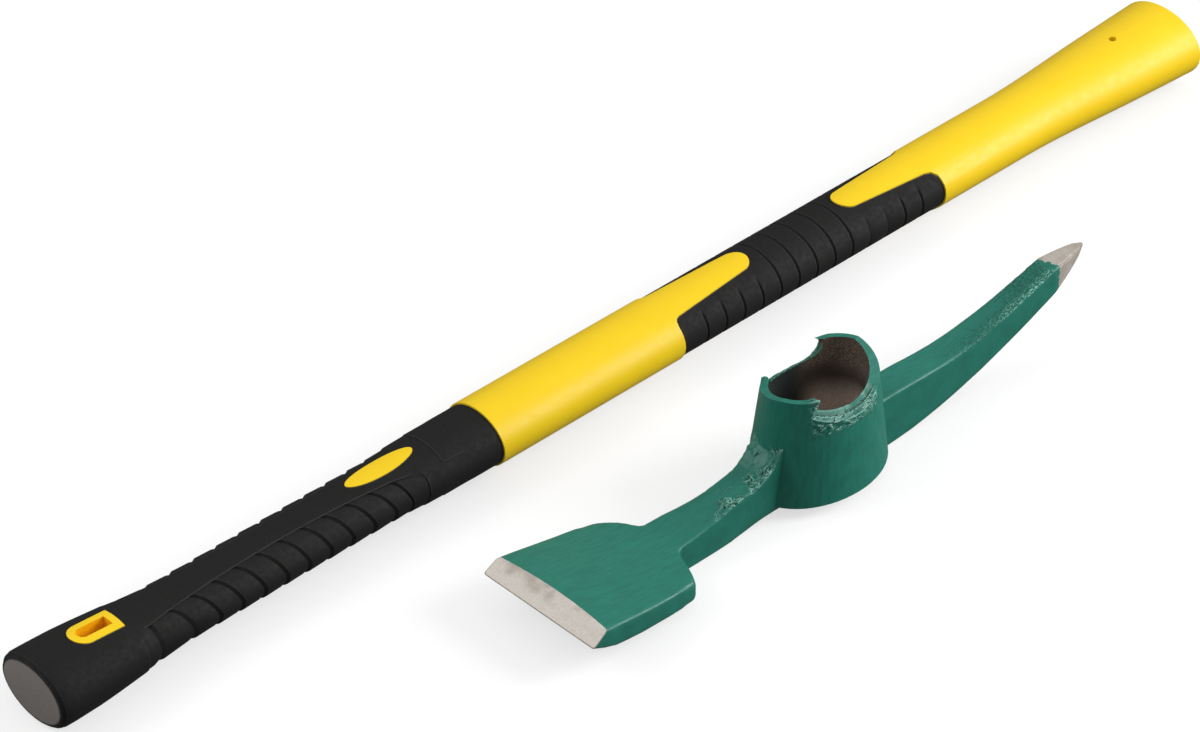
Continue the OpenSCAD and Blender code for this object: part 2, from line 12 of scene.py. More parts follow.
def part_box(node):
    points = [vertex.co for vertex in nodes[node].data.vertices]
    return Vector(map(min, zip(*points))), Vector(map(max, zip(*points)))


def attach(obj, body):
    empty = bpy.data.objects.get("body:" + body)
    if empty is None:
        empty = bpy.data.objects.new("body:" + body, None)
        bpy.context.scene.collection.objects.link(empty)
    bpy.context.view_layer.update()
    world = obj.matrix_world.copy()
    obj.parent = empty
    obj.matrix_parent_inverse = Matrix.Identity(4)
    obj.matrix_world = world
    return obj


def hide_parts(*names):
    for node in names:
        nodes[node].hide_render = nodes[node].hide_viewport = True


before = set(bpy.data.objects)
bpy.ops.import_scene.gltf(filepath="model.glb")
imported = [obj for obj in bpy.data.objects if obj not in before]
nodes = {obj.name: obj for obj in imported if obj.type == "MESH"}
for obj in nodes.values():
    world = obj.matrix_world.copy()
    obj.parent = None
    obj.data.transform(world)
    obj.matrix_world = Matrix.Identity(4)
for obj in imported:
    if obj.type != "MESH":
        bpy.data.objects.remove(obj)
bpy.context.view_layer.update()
MM = 0.001

# Places on the object: boxes of the imported parts, and the few sizes that the boxes don't give
HEAD_LOW, HEAD_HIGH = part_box("head")
GRIP_LOW, GRIP_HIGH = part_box("lower_grip")
EYE_X = -2 * MM
EYE_Y = (HEAD_LOW.y + HEAD_HIGH.y) / 2
EYE_TOP = Vector((EYE_X, EYE_Y, HEAD_HIGH.z))
EYE_HALF_L = 31.6 * MM
EYE_HALF_W = 22.2 * MM
EDGE_X = HEAD_LOW.x
POINT_L = 29 * MM
POINT_X = HEAD_HIGH.x - POINT_L
HANDLE_Y = (GRIP_LOW.y + GRIP_HIGH.y) / 2
HANDLE_Z = (GRIP_LOW.z + GRIP_HIGH.z) / 2
LOOP_REACH = 42.5 * MM
LOOP_X = GRIP_LOW.x + LOOP_REACH

WHITE = (1, 1, 1, 1)


def smoothstep(value, low, high):
    """0 below low, 1 above high, smooth between; high may be the smaller."""
    share = min(1.0, max(0.0, (value - low) / (high - low)))
    return share * share * (3 - 2 * share)


def linear(value):
    """One sRGB channel, 0 to 255, as a linear value."""
    v = value / 255
    return v / 12.92 if v <= 0.04045 else ((v + 0.055) / 1.055) ** 2.4


def colour(red, green, blue):
    """An sRGB colour as linear RGBA."""
    return (linear(red), linear(green), linear(blue), 1.0)


# Node materials: rays of the occlusion nodes, and the span that holds most values of a noise
AO_SAMPLES = 6
NOISE_SPAN = (0.3, 0.7)


class Shader:
    """A node material under construction: short calls add nodes and link them."""

    def __init__(self, name):
        self.material = bpy.data.materials.new(name)
        self.material.use_nodes = True
        self.tree = self.material.node_tree
        self.surface = self.tree.nodes["Principled BSDF"]
        self.place = self.add("ShaderNodeTexCoord").outputs["Object"]

    def add(self, kind, **settings):
        """A new node with these settings."""
        node = self.tree.nodes.new(kind)
        for name, value in settings.items():
            setattr(node, name, value)
        return node

    def put(self, socket, value):
        """Links an output to a socket, or sets the socket's own value."""
        if isinstance(value, bpy.types.NodeSocket):
            self.tree.links.new(value, socket)
        else:
            socket.default_value = value

    def set(self, name, value):
        """Links or sets an input of the surface."""
        self.put(self.surface.inputs[name], value)

    def math(self, kind, a, b=0.0):
        """The result of a sum of that kind on one or two numbers."""
        node = self.add("ShaderNodeMath", operation=kind)
        self.put(node.inputs[0], a)
        self.put(node.inputs[1], b)
        return node.outputs[0]

    def times(self, *values):
        """The product of all the values."""
        product = values[0]
        for value in values[1:]:
            product = self.math("MULTIPLY", product, value)
        return product

    def axes(self, vector=None):
        """The three coordinates of a vector, the place on the object if none is named."""
        node = self.add("ShaderNodeSeparateXYZ")
        self.put(node.inputs[0], vector or self.place)
        return node.outputs

    def true_normal(self):
        """The three coordinates of the face's own normal."""
        return self.axes(self.add("ShaderNodeNewGeometry").outputs["True Normal"])

    def noise(self, size, detail=3.0, rough=0.5, stretch=(1, 1, 1)):
        """Noise from 0 to 1 whose lumps are about that size."""
        mapping = self.add("ShaderNodeMapping")
        self.put(mapping.inputs["Vector"], self.place)
        self.put(mapping.inputs["Scale"], [1 / s for s in stretch])
        node = self.add("ShaderNodeTexNoise")
        self.put(node.inputs["Vector"], mapping.outputs[0])
        self.put(node.inputs["Scale"], 1 / size)
        self.put(node.inputs["Detail"], detail)
        self.put(node.inputs["Roughness"], rough)
        return node.outputs["Fac"]

    def hollow(self, reach, inside=False):
        """1 deep in creases and grooves, 0 on open faces, judged within that reach."""
        node = self.add("ShaderNodeAmbientOcclusion", samples=AO_SAMPLES, only_local=True, inside=inside)
        self.put(node.inputs["Distance"], reach)
        return self.math("SUBTRACT", 1.0, node.outputs["AO"])

    def brim(self, reach):
        """1 on sharp outer edges, 0 on flat faces: a hollow judged from inside the piece."""
        return self.hollow(reach, inside=True)

    def vertex_share(self, name):
        """A share stored on the mesh's points."""
        return self.add("ShaderNodeAttribute", attribute_name=name).outputs["Fac"]

    def ramp(self, value, low, high, to_low=0.0, to_high=1.0):
        """Value carried smoothly from low..high to to_low..to_high."""
        node = self.add("ShaderNodeMapRange", interpolation_type="SMOOTHSTEP")
        self.put(node.inputs["Value"], value)
        self.put(node.inputs["From Min"], low)
        self.put(node.inputs["From Max"], high)
        self.put(node.inputs["To Min"], to_low)
        self.put(node.inputs["To Max"], to_high)
        return node.outputs["Result"]

    def mix(self, share, a, b):
        """Colour a where share is 0, colour b where it is 1."""
        node = self.add("ShaderNodeMix", data_type="RGBA")
        self.put(node.inputs["Factor"], share)
        self.put(node.inputs[6], a)
        self.put(node.inputs[7], b)
        return node.outputs[2]

    def blend(self, share, a, b):
        """Number a where share is 0, number b where it is 1."""
        node = self.add("ShaderNodeMix", data_type="FLOAT")
        self.put(node.inputs["Factor"], share)
        self.put(node.inputs[2], a)
        self.put(node.inputs[3], b)
        return node.outputs[0]

    def bump(self, height, depth, before=None):
        """Adds a height map of that depth to the surface's normal."""
        node = self.add("ShaderNodeBump")
        self.put(node.inputs["Height"], height)
        self.put(node.inputs["Distance"], depth)
        if before is not None:
            self.put(node.inputs["Normal"], before)
        self.set("Normal", node.outputs[0])
        return node.outputs[0]


# Smooth shading: points that round to the same step are one place
STEPS_PER_METRE = 1e5
TINY = 1e-15


def unit_rows(rows):
    """Each row as a vector of length 1."""
    return rows / np.maximum(np.linalg.norm(rows, axis=1, keepdims=True), TINY)


def corner_angles(points):
    """The angle of each triangle at each of its corners."""
    ahead = np.roll(points, -1, axis=1) - points
    behind = np.roll(points, 1, axis=1) - points
    length = np.linalg.norm(ahead, axis=2) * np.linalg.norm(behind, axis=2)
    return np.arccos(np.clip((ahead * behind).sum(2) / np.maximum(length, TINY), -1, 1)).ravel()


def corners_by_place(points):
    """Groups of corners that meet in one place."""
    steps = np.round(points.reshape(-1, 3) * STEPS_PER_METRE)
    place = np.unique(steps, axis=0, return_inverse=True)[1].ravel()
    order = np.argsort(place, kind="stable")
    return np.split(order, np.flatnonzero(np.diff(place[order])) + 1)


def smooth_normals(obj, limits_deg):
    """Shades round stretches smoothly and keeps edges sharper than each point's limit crisp."""
    mesh = obj.data
    co = np.empty(len(mesh.vertices) * 3)
    mesh.vertices.foreach_get("co", co)
    corner = np.empty(len(mesh.loops), int)
    mesh.loops.foreach_get("vertex_index", corner)
    points = co.reshape(-1, 3)[corner].reshape(-1, 3, 3)
    normal = unit_rows(np.cross(points[:, 1] - points[:, 0], points[:, 2] - points[:, 0]))
    weight = corner_angles(points)
    face = np.repeat(np.arange(len(points)), 3)
    limits = np.cos(np.radians(limits_deg))
    shaded = np.empty((len(corner), 3))
    for group in corners_by_place(points):
        n = normal[face[group]]
        near = (n @ n.T > limits[corner[group[0]]]) * weight[group]
        shaded[group] = near @ n
    mesh.polygons.foreach_set("use_smooth", np.ones(len(mesh.polygons), bool))
    mesh.normals_split_custom_set(unit_rows(shaded).tolist())


def dress(obj, material, limit_deg):
    """Gives a piece its material and its smooth shading."""
    obj.data.materials.clear()
    obj.data.materials.append(material)
    smooth_normals(obj, np.full(len(obj.data.vertices), limit_deg))


# Faces of the forged skin: edge lengths, and the angles in degrees that are shaded as one round face
FINE_EDGE = 0.8 * MM
SHOULDER_EDGE = 2 * MM
COARSE_EDGE = 4.5 * MM
MERGE_DISTANCE = 0.001 * MM
REFINE_PASSES = 9
FINE_SHARE = 0.02
CRISP_SHARE = 0.15
SOFT_LIMIT = 38.0
CRISP_LIMIT = 13.0

# Crumpled root of the blade arm: distances from the eye's axis, heights and normals
CRUMPLE_START = (30 * MM, 36 * MM)
CRUMPLE_END = (100 * MM, 70 * MM)
CRUMPLE_FOOT = (52 * MM, 42 * MM)
CRUMPLE_FOOT_NORMAL = (-0.6, -0.35)
CRUMPLE_UP_LOW = 0.3
CRUMPLE_UP_HIGH = 0.6
CRUMPLE_FOOT_LEAN = 0.3
CRUMPLE_TOP = (50 * MM, 42 * MM)
CRUMPLE_NEAR = (4 * MM, -4 * MM)
CRUMPLE_FAR_SHARE = 0.15
CRUMPLE_FOOT_SHARE = 0.5
CRUMPLE_PATCH = 9 * MM
CRUMPLE_PATCH_FADE = (-0.45, 0.1)
CRUMPLE_SINK = 0.8 * MM

# Grainy crust of the pick
CRUST_OUTER = (135 * MM, 172 * MM)
CRUST_NEAR = (3 * MM, -5 * MM)
CRUST_NEAR_REACH = (85 * MM, 130 * MM)
CRUST_END = (POINT_X - 1 * MM, POINT_X - 5 * MM)
CRUST_UP = (0.45, 0.7)

# Rim of the socket's flanks: places across it run from 0 at the eye to 1 at the outer edge
RIM_WIDTH_SHARE = 0.27
FLANK_LEFT = (-29 * MM, -25 * MM)
FLANK_RIGHT = (24 * MM, 19 * MM)
FLANK_TOP = (51 * MM, 55 * MM)
FAR_FLANK_SHARE = 0.5
BURR_INNER = (0.5, 0.6)
BURR_OUTER_SHARE = 1.1
BURR_OUTER_FADE_SHARE = 0.1
BURR_HOOK = (-8 * MM, -22 * MM)
BURR_HOOK_SHARE = 0.3
BURR_SINK_SHARE = 0.3
GROOVE_PLACE_SHARE = 0.46
GROOVE_FADE = (0.12, 0.03)
GROOVE_DEPTH = 0.8 * MM

# Ground faces, which stay clean
BEVEL_REACH = (EDGE_X + 22 * MM, EDGE_X + 20 * MM)
BEVEL_NORMAL = (-0.25, -0.32)
POINT_REACH = (POINT_X - 2 * MM, POINT_X)
FOOT_HEIGHT = (1.5 * MM, 0.3 * MM)

# Folds of the skin: size, height, how far each is drawn out along the head, and the seed of their tilts
WAVE_SIZE, WAVE_HEIGHT = 14 * MM, 0.16 * MM
FOLD_SIZE, FOLD_HEIGHT, FOLD_DRAWN = 4.2 * MM, 1.2 * MM, 1.4
CREASE_SIZE, CREASE_HEIGHT = 2.4 * MM, 0.7 * MM
CRUST_SIZE, CRUST_HEIGHT = 1.5 * MM, 0.3 * MM
BURR_SIZE, BURR_HEIGHT, BURR_DRAWN = 2.2 * MM, 0.45 * MM, 2.2
FACET_TILT = 3.2
FACET_TILT_SCATTER = 7.1
FACET_HEIGHT_SCATTER = 3.3
FACET_SEED = 3
FACET_REACH = 0.6
FACET_FALL = 3

# Soft shoulders of the blade
SHOULDER_START = (104 * MM, 114 * MM)
SHOULDER_END = (152 * MM, 140 * MM)
ROUND_STEPS = 14
ROUND_FACTOR = 0.5

# Hooked tips of the socket's tabs: where each is and how far it is drawn
HOOKS = (
    (EYE_TOP + Vector((-26.5, 17, -5)) * MM, Vector((1.5, 0.5, 2.5)) * MM),
    (EYE_TOP + Vector((20.5, 20.5, 0)) * MM, Vector((-2, 0.3, -0.8)) * MM),
    (EYE_TOP + Vector((-23.5, -18.5, 0)) * MM, Vector((2, -0.5, 0.6)) * MM),
)
HOOK_REACH = 6 * MM


def root_crumple(p, n):
    """0 to 1: torn, folded steel where the blade arm's top meets the socket, most on the near side."""
    reach = EYE_X - p.x
    along = smoothstep(reach, *CRUMPLE_START) * smoothstep(reach, *CRUMPLE_END)
    if along == 0:
        return 0.0
    foot = smoothstep(reach, *CRUMPLE_FOOT) * smoothstep(n.y, *CRUMPLE_FOOT_NORMAL)
    lean = CRUMPLE_FOOT_LEAN * foot
    upward = smoothstep(n.z, CRUMPLE_UP_LOW - lean, CRUMPLE_UP_HIGH - lean) * smoothstep(p.z, *CRUMPLE_TOP)
    near = max(CRUMPLE_FAR_SHARE + CRUMPLE_FOOT_SHARE * foot, smoothstep(p.y - EYE_Y, *CRUMPLE_NEAR))
    ragged = smoothstep(noise.noise(p / CRUMPLE_PATCH), *CRUMPLE_PATCH_FADE)
    return along * near * ragged * upward


def pick_crust(p, n):
    """0 to 1: grainy scale on top of the pick, from its middle to the point and most along the near edge."""
    reach = p.x - EYE_X
    outer = smoothstep(reach, *CRUST_OUTER)
    near = smoothstep(p.y - EYE_Y, *CRUST_NEAR) * smoothstep(reach, *CRUST_NEAR_REACH)
    return max(outer, near) * smoothstep(p.x, *CRUST_END) * smoothstep(n.z, *CRUST_UP)


def rim_place(p):
    """Place across a flank's sloping rim: 0 at the eye, 1 at the outer edge."""
    oval = math.hypot((p.x - EYE_X) / EYE_HALF_L, (p.y - EYE_Y) / EYE_HALF_W)
    return (oval - 1) / RIM_WIDTH_SHARE


def on_flank(p):
    """1 on the rim of the near flank, less on the far one, 0 elsewhere."""
    along = smoothstep(p.x - EYE_X, *FLANK_LEFT) * smoothstep(p.x - EYE_X, *FLANK_RIGHT)
    side = 1.0 if p.y < EYE_Y else FAR_FLANK_SHARE
    return along * side * smoothstep(p.z, *FLANK_TOP)


def rim_burr(p):
    """0 to 1: torn burr along the outer half of a flank's rim, wider at the hooked tab."""
    flank = on_flank(p)
    if flank == 0:
        return 0.0
    place = rim_place(p)
    outer = BURR_OUTER_SHARE + BURR_HOOK_SHARE * smoothstep(p.x - EYE_X, *BURR_HOOK)
    return flank * smoothstep(place, *BURR_INNER) * smoothstep(place, outer + BURR_OUTER_FADE_SHARE, outer)


def rim_groove(p):
    """0 to 1: line between the clean inner strip of the rim and the burr."""
    flank = on_flank(p)
    if flank == 0:
        return 0.0
    return flank * smoothstep(abs(rim_place(p) - GROOVE_PLACE_SHARE), *GROOVE_FADE)


def ground(p, n):
    """1 on the ground bevel, the ground point and the foot, which stay clean."""
    bevel = smoothstep(p.x, *BEVEL_REACH) * smoothstep(n.x, *BEVEL_NORMAL)
    return max(bevel, smoothstep(p.x, *POINT_REACH), smoothstep(p.z, *FOOT_HEIGHT))


def facets(p, size, drawn=1.0):
    """Height of a folded skin, about -1 to 1: flat facets of about that size that meet in creases."""
    q = Vector((p.x / drawn, p.y, p.z)) / size
    heights = []
    for distance, centre in zip(*noise.voronoi(q)):
        tilt = noise.noise_vector(centre * FACET_TILT_SCATTER)
        fall = max(0.0, distance - FACET_REACH)
        middle = noise.noise(centre * FACET_HEIGHT_SCATTER)
        heights.append((q - centre).dot(tilt) * FACET_TILT + middle - FACET_FALL * fall * fall)
    return max(heights)


def roughness(p, n):
    """How rough the skin is, 0 to 1."""
    return max(root_crumple(p, n), pick_crust(p, n), rim_burr(p), rim_groove(p))


def relief(p, n):
    """How far the forged skin stands out."""
    height = WAVE_HEIGHT * noise.noise(p / WAVE_SIZE)
    crumple = root_crumple(p, n)
    if crumple > 0:
        folds = FOLD_HEIGHT * facets(p, FOLD_SIZE, FOLD_DRAWN)
        creases = CREASE_HEIGHT * facets(p, CREASE_SIZE)
        height += crumple * (folds + creases - CRUMPLE_SINK)
    crust = pick_crust(p, n)
    if crust > 0:
        height += CRUST_HEIGHT * crust * facets(p, CRUST_SIZE)
    burr = rim_burr(p)
    if burr > 0:
        height += BURR_HEIGHT * burr * (facets(p, BURR_SIZE, BURR_DRAWN) - BURR_SINK_SHARE)
    height -= GROOVE_DEPTH * rim_groove(p)
    return height * (1 - ground(p, n))


def shoulder(p):
    """1 at the blade's shoulders, 0 elsewhere."""
    reach = EYE_X - p.x
    return smoothstep(reach, *SHOULDER_START) * smoothstep(reach, *SHOULDER_END)


def hook_pull(p):
    """How far the tips of the socket's tabs are drawn into hooks."""
    pull = Vector()
    for tip, shift in HOOKS:
        pull += shift * smoothstep((p - tip).length, HOOK_REACH, 0)
    return pull


def too_long(edge):
    """True for an edge longer than the skin there allows: fine where it is rough, coarse elsewhere."""
    length = edge.calc_length()
    if length <= FINE_EDGE or length > COARSE_EDGE:
        return length > COARSE_EDGE
    a, b = edge.verts
    middle = (a.co + b.co) / 2
    if length > SHOULDER_EDGE and shoulder(middle) > 0:
        return True
    return hook_pull(middle).length > 0 or roughness(middle, (a.normal + b.normal) / 2) > FINE_SHARE


def drop_doubled(bm):
    """Removes folded pairs of faces on the same three points, which halving a sliver can leave."""
    seen = {}
    for face in bm.faces:
        seen.setdefault(frozenset(face.verts), []).append(face)
    doubled = [face for faces in seen.values() for face in faces[len(faces) % 2:]]
    bmesh.ops.delete(bm, geom=doubled, context="FACES")


def refine(bm):
    """Halves long edges until the faces are as fine as the skin needs."""
    for _ in range(REFINE_PASSES):
        long_edges = [edge for edge in bm.edges if too_long(edge)]
        if not long_edges:
            break
        bmesh.ops.subdivide_edges(bm, edges=long_edges, cuts=1)
        wide_faces = [face for face in bm.faces if len(face.verts) > 3]
        bmesh.ops.triangulate(bm, faces=wide_faces, quad_method="SHORT_EDGE")
        drop_doubled(bm)
        bm.normal_update()


def round_shoulders(bm):
    """Rounds the blade's shoulders, most in the middle of their stretch."""
    shares = [(vert, shoulder(vert.co)) for vert in bm.verts]
    all_axes = {"use_axis_x": True, "use_axis_y": True, "use_axis_z": True}
    for step in range(ROUND_STEPS):
        soft = [vert for vert, share in shares if share > step / ROUND_STEPS]
        bmesh.ops.smooth_vert(bm, verts=soft, factor=ROUND_FACTOR, **all_axes)
    bm.normal_update()


def forged_head(material):
    """The head with its forged skin: the CAD shape in fine faces, crumpled, torn and crusted by place."""
    noise.seed_set(FACET_SEED)
    bm = bmesh.new()
    bm.from_mesh(nodes["head"].data)
    bmesh.ops.remove_doubles(bm, verts=bm.verts, dist=MERGE_DISTANCE)
    bm.normal_update()
    refine(bm)
    round_shoulders(bm)
    rest = [(v.co.copy(), v.normal.copy()) for v in bm.verts]
    rough = [roughness(p, n) for p, n in rest]
    crust = [pick_crust(p, n) for p, n in rest]
    for vert, (p, n) in zip(bm.verts, rest):
        vert.co = p + n * relief(p, n) + hook_pull(p)
    mesh = bpy.data.meshes.new("forged_head")
    bm.to_mesh(mesh)
    bm.free()
    for name, shares in (("rough", rough), ("crust", crust)):
        mesh.attributes.new(name, "FLOAT", "POINT").data.foreach_set("value", shares)
    obj = bpy.data.objects.new("forged_head", mesh)
    bpy.context.scene.collection.objects.link(obj)
    mesh.materials.append(material)
    smooth_normals(obj, np.where(np.array(rough) > CRISP_SHARE, CRISP_LIMIT, SOFT_LIMIT))
    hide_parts("head")
    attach(obj, "head")


# Where the head is bare of paint
PAINT_RAG_SIZE = 3.5 * MM
PAINT_RAG_DEPTH = 7 * MM
PAINT_RAG_MIDDLE = 0.5
POINT_LEAN_SHARE = 0.25
POINT_LINE = (POINT_X - 0.3 * MM, POINT_X + 0.3 * MM)
BEVEL_LINE = (-0.28, -0.32)
EYE_WALL_HALF_L = 37 * MM
EYE_WALL_HALF_W = 26 * MM
EYE_WALL_OVAL = (1.1, 1.0)
EYE_WALL_INWARD = (-0.5, -0.62)

# Green enamel: painted shade in its creases, painted glints and highlights on its crust and folds, and edges
# lighter from wear and painted highlight
GREEN_DEEP = (0.009, 0.140, 0.099, 1)
GREEN_LIGHT = (0.0145, 0.176, 0.129, 1)
GREEN_PATCH = 30 * MM
STREAK_GREEN = (0.006, 0.100, 0.068, 1)
STREAK_SIZE = 1.6 * MM
STREAK_STRETCH = (7, 1, 7)
STREAK_FADE = (0.35, 0.7)
STREAK_SHARE = 0.4
GRAIN_GREEN = (0.002, 0.090, 0.062, 1)
GRAIN_SIZE = 1.1 * MM
GRAIN_FADE = (0.42, 0.56)
GRAIN_SHARE = 0.8
# Painted glints: pale green specks along the near edge of the pick's crust
PAINTED_GLINT_GREEN = (0.20, 0.48, 0.38, 1)
GLINT_SIZE = 0.9 * MM
GLINT_FADE = (0.5, 0.62)
GLINT_NEAR = (-2 * MM, -6 * MM)
GLINT_REACH = (120 * MM, 165 * MM)
GLINT_SHARE = 0.85
# Painted shade in the creases and recesses of the head
CREASE_SHADE_GREEN = (0.002, 0.045, 0.032, 1)
CREASE_SHADE_REACH = 3 * MM
CREASE_SHADE_FADE = (0.35, 0.75)
FOLD_GREEN = (0.004, 0.095, 0.066, 1)
FOLD_SHARE = 0.45
# Painted shade in the creases of the crumpled folds
FOLD_CREASE_SHADE_GREEN = (0.001, 0.030, 0.021, 1)
FOLD_CREASE_SHADE_REACH = 1.2 * MM
FOLD_CREASE_SHADE_FADE = (0.06, 0.24)
# Painted highlights on the crests of the crumpled folds
FOLD_CREST_HIGHLIGHT_GREEN = (0.24, 0.50, 0.42, 1)
FOLD_CREST_HIGHLIGHT_FADE = (0.05, 0.2)
# Edges lighter: partly wear of the paint, partly a painted highlight along them
WORN_AND_LIT_EDGE_GREEN = (0.06, 0.28, 0.21, 1)
EDGE_MASK_REACH = 0.8 * MM
WORN_AND_LIT_EDGE_FADE = (0.2, 0.5)
WORN_AND_LIT_EDGE_SHARE = 0.35

# Bare steel of the bevel and the point
STEEL_DARK = colour(176, 168, 159)
STEEL_LIGHT = colour(218, 211, 203)
STEEL_SIZE = 1.3 * MM
STEEL_GRIT = 0.65
SMUDGE_STEEL = colour(150, 140, 130)
SMUDGE_SIZE = 14 * MM
SMUDGE_FADE = (0.42, 0.66)
SMUDGE_START = (EDGE_X + 3 * MM, EDGE_X + 8 * MM)
SMUDGE_SHARE = 0.65
POINT_DARK = colour(138, 130, 120)
POINT_LIGHT = colour(178, 170, 160)
POINT_SIZE = 1.1 * MM
POINT_SHARE = 0.45
# Painted shade along the point's ridge; the same darker steel is laid along sharp edges of the bare steel
RIDGE_SHADE_STEEL = colour(96, 84, 72)
RIDGE_LOW = (0.25, 0.4)
RIDGE_HIGH = (0.88, 0.78)
RIDGE_EDGE_FADE = (0.12, 0.4)
RIDGE_SHADE_SHARE = 0.8

# Raw scale inside the eye: painted shade on the left, painted light low on the right
SCALE_DARK = colour(50, 44, 37)
SCALE_LIGHT = colour(78, 67, 58)
SCALE_SIZE = 9 * MM
# Painted light: a pale patch low on the right wall of the eye
PAINTED_LIT_DARK = colour(186, 162, 146)
PAINTED_LIT_LIGHT = colour(226, 204, 188)
PAINTED_LIT_SIZE = 2.5 * MM
PAINTED_LIT_REACH = (2 * MM, 20 * MM)
PAINTED_LIT_HEIGHT = (52 * MM, 30 * MM)
SPECK_SCALE = colour(110, 92, 79)
SPECK_SIZE = 0.8 * MM
SPECK_FADE = (0.44, 0.66)
SPECK_REACH = (2 * MM, 12 * MM)
SPECK_HEIGHT = (55 * MM, 62 * MM)
# Painted shade on the left of the eye
SHADE_SCALE = colour(7, 22, 17)
SHADE_REACH = (16 * MM, -4 * MM)

# Gloss and fine bumps of the head
PAINT_GLOSS_SIZE = 8 * MM
PAINT_ROUGHNESS = (0.38, 0.48)
STEEL_ROUGHNESS = 0.45
SCALE_ROUGHNESS = 0.75
STEEL_METALLIC_SHARE = 0.3
PAINT_SPECULAR = 0.32
PEEL_SIZE, PEEL_DEPTH, PEEL_GRIT = 2.5 * MM, 0.1 * MM, 0.6
LINE_SIZE, LINE_DEPTH, LINE_STRETCH = 1.1 * MM, 0.16 * MM, (16, 1, 16)
LINE_UP = (0.5, 0.8)
PIT_SIZE, PIT_DEPTH = 0.8 * MM, 0.5 * MM
PIT_CRUST_SHARE = 0.8
PIT_BARE_SHARE = 0.5


class HeadShader(Shader):
    """The head's material under construction, with the places and shares that its layers use."""

    def __init__(self, name):
        super().__init__(name)
        self.x, y, self.z = self.axes()
        self.normal = self.true_normal()
        self.away_x = self.math("SUBTRACT", self.x, EYE_X)
        self.away_y = self.math("SUBTRACT", y, EYE_Y)
        self.edge = self.brim(EDGE_MASK_REACH)
        self.crust = self.vertex_share("crust")
        folded = self.math("SUBTRACT", self.vertex_share("rough"), self.crust)
        self.folds = self.math("MAXIMUM", folded, 0.0)
        self.point = self.ground_point()
        self.bare = self.math("MAXIMUM", self.point, self.ground_bevel())
        self.inside = self.eye_wall()

    def ground_point(self):
        """1 on the bare point, up to a ragged line of paint."""
        ragged = self.math("SUBTRACT", self.noise(PAINT_RAG_SIZE, detail=4), PAINT_RAG_MIDDLE)
        leaning = self.math("ADD", self.x, self.times(self.away_y, POINT_LEAN_SHARE))
        return self.ramp(self.math("ADD", leaning, self.times(ragged, PAINT_RAG_DEPTH)), *POINT_LINE)

    def ground_bevel(self):
        """1 on the bare bevel of the blade."""
        return self.times(self.ramp(self.x, *BEVEL_REACH), self.ramp(self.normal[0], *BEVEL_LINE))

    def eye_wall(self):
        """1 inside the eye, on the faces that look at its axis."""
        toward_x = self.times(self.normal[0], self.away_x)
        toward_y = self.times(self.normal[1], self.away_y)
        square = self.math("ADD", self.times(self.away_x, self.away_x), self.times(self.away_y, self.away_y))
        inward = self.math("DIVIDE", self.math("ADD", toward_x, toward_y), self.math("SQRT", square))
        share_x = self.times(self.away_x, 1 / EYE_WALL_HALF_L)
        share_y = self.times(self.away_y, 1 / EYE_WALL_HALF_W)
        oval = self.math("ADD", self.times(share_x, share_x), self.times(share_y, share_y))
        return self.times(self.ramp(inward, *EYE_WALL_INWARD), self.ramp(oval, *EYE_WALL_OVAL))


def green_enamel(s):
    """Colour of the paint: streaked, with dark grain and painted glints on the crust, painted shade in
    creases, painted highlights on fold crests, and edges lighter from wear and painted highlight.
    """
    green = s.mix(s.noise(GREEN_PATCH), GREEN_DEEP, GREEN_LIGHT)
    streaks = s.ramp(s.noise(STREAK_SIZE, detail=4, stretch=STREAK_STRETCH), *STREAK_FADE)
    green = s.mix(s.times(streaks, STREAK_SHARE), green, STREAK_GREEN)
    grain = s.ramp(s.noise(GRAIN_SIZE), *GRAIN_FADE)
    green = s.mix(s.times(s.crust, grain, GRAIN_SHARE), green, GRAIN_GREEN)
    near = s.times(s.ramp(s.away_y, *GLINT_NEAR), s.ramp(s.away_x, *GLINT_REACH))
    painted_glint = s.times(s.crust, near, s.ramp(s.noise(GLINT_SIZE, detail=2), *GLINT_FADE))
    green = s.mix(s.times(painted_glint, GLINT_SHARE), green, PAINTED_GLINT_GREEN)
    green = s.mix(s.ramp(s.hollow(CREASE_SHADE_REACH), *CREASE_SHADE_FADE), green, CREASE_SHADE_GREEN)
    green = s.mix(s.times(s.folds, FOLD_SHARE), green, FOLD_GREEN)
    fold_crease_shade = s.ramp(s.hollow(FOLD_CREASE_SHADE_REACH), *FOLD_CREASE_SHADE_FADE)
    green = s.mix(s.times(s.folds, fold_crease_shade), green, FOLD_CREASE_SHADE_GREEN)
    green = s.mix(s.times(s.folds, s.ramp(s.edge, *FOLD_CREST_HIGHLIGHT_FADE)), green, FOLD_CREST_HIGHLIGHT_GREEN)
    return s.mix(s.times(s.ramp(s.edge, *WORN_AND_LIT_EDGE_FADE), WORN_AND_LIT_EDGE_SHARE), green, WORN_AND_LIT_EDGE_GREEN)


